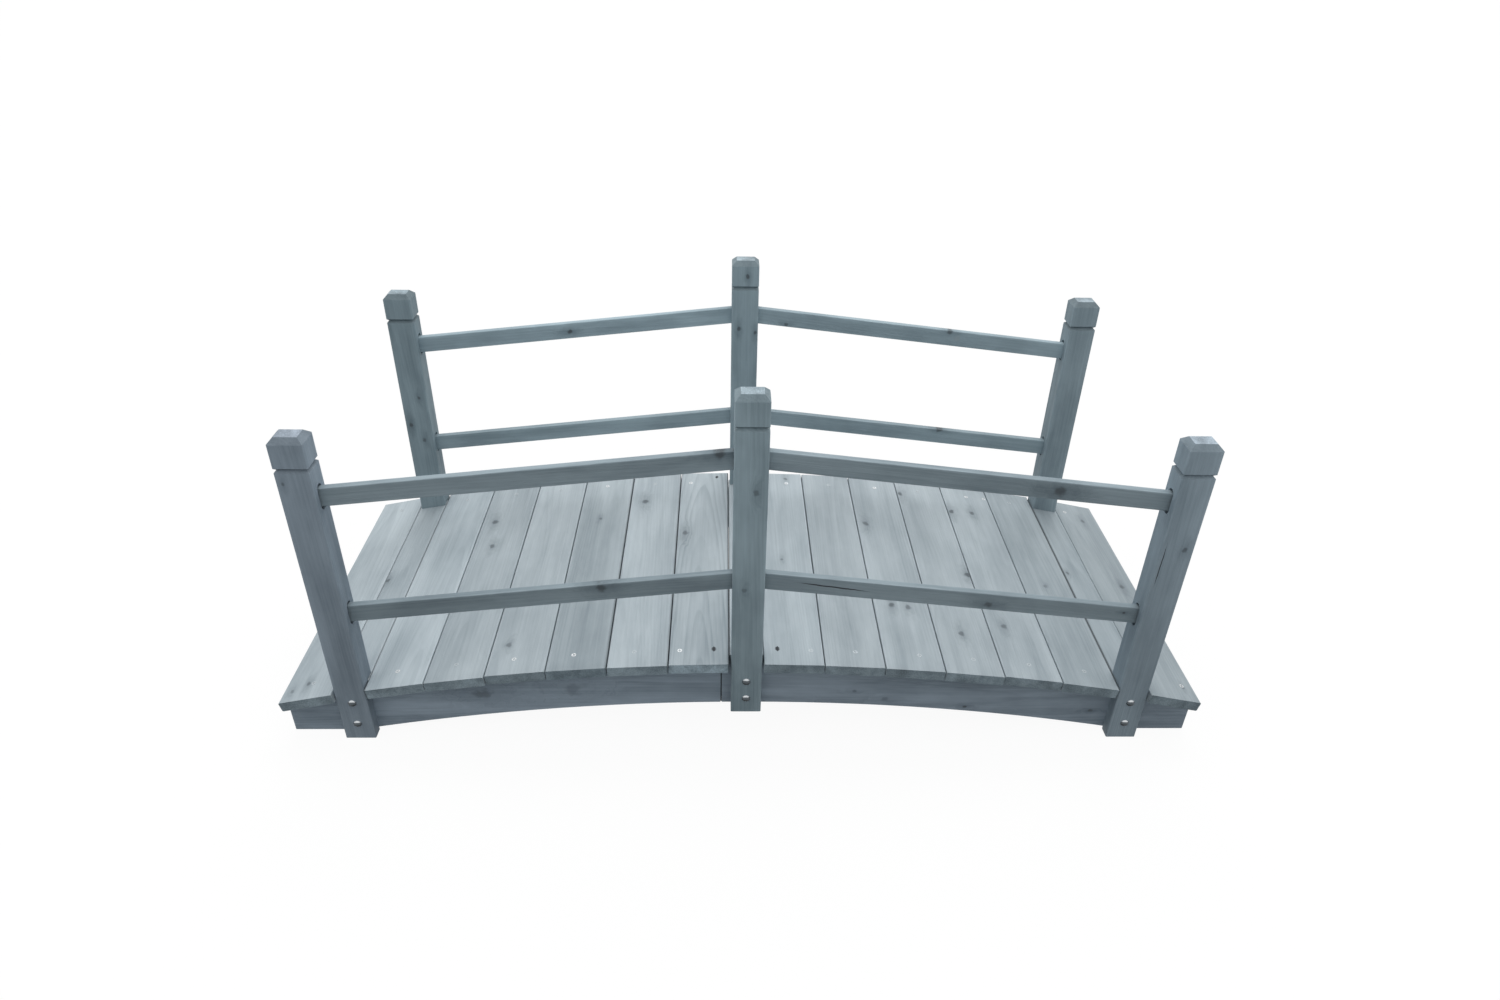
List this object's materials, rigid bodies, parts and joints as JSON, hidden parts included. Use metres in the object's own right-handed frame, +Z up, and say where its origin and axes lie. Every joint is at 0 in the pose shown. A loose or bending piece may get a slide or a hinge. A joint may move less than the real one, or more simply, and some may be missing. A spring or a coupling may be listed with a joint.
{
  "type": "arched wooden garden bridge",
  "caption": "Small arched garden bridge of stained softwood: a boarded deck on arched stringers, with a post-and-rail railing along each side, for a path over a dry bed or ditch.",
  "frame": {"origin": "on the ground below the middle of the bridge", "axes": "+X along the bridge, +Y across it, +Z up"},
  "size_m": [1.5234, 0.603, 0.642],
  "materials": {
    "stringers": "blue-grey semi-transparent stain on sawn softwood",
    "posts": "blue-grey semi-transparent stain on planed softwood",
    "rails": "blue-grey semi-transparent stain on planed softwood",
    "deck_boards": "pale blue-grey semi-transparent stain on planed softwood with open grain",
    "fasteners": "zinc plated"
  },
  "bodies": {
    "root": {"front_left_stringer": "stringers", "front_right_stringer": "stringers", "rear_left_stringer": "stringers", "rear_right_stringer": "stringers", "front_left_post": "posts", "front_middle_post": "posts", "front_right_post": "posts", "rear_left_post": "posts", "rear_middle_post": "posts", "rear_right_post": "posts", "front_left_upper_rail": "rails", "front_left_lower_rail": "rails", "front_right_upper_rail": "rails", "front_right_lower_rail": "rails", "rear_left_upper_rail": "rails", "rear_left_lower_rail": "rails", "rear_right_upper_rail": "rails", "rear_right_lower_rail": "rails", "left_end_board": "deck_boards", "left_filler_board": "deck_boards", "deck_board_1": "deck_boards", "deck_board_2": "deck_boards", "deck_board_3": "deck_boards", "deck_board_4": "deck_boards", "deck_board_5": "deck_boards", "deck_board_6": "deck_boards", "middle_filler_board": "deck_boards", "deck_board_7": "deck_boards", "deck_board_8": "deck_boards", "deck_board_9": "deck_boards", "deck_board_10": "deck_boards", "deck_board_11": "deck_boards", "deck_board_12": "deck_boards", "right_filler_board": "deck_boards", "right_end_board": "deck_boards"}
  },
  "joints": []
}
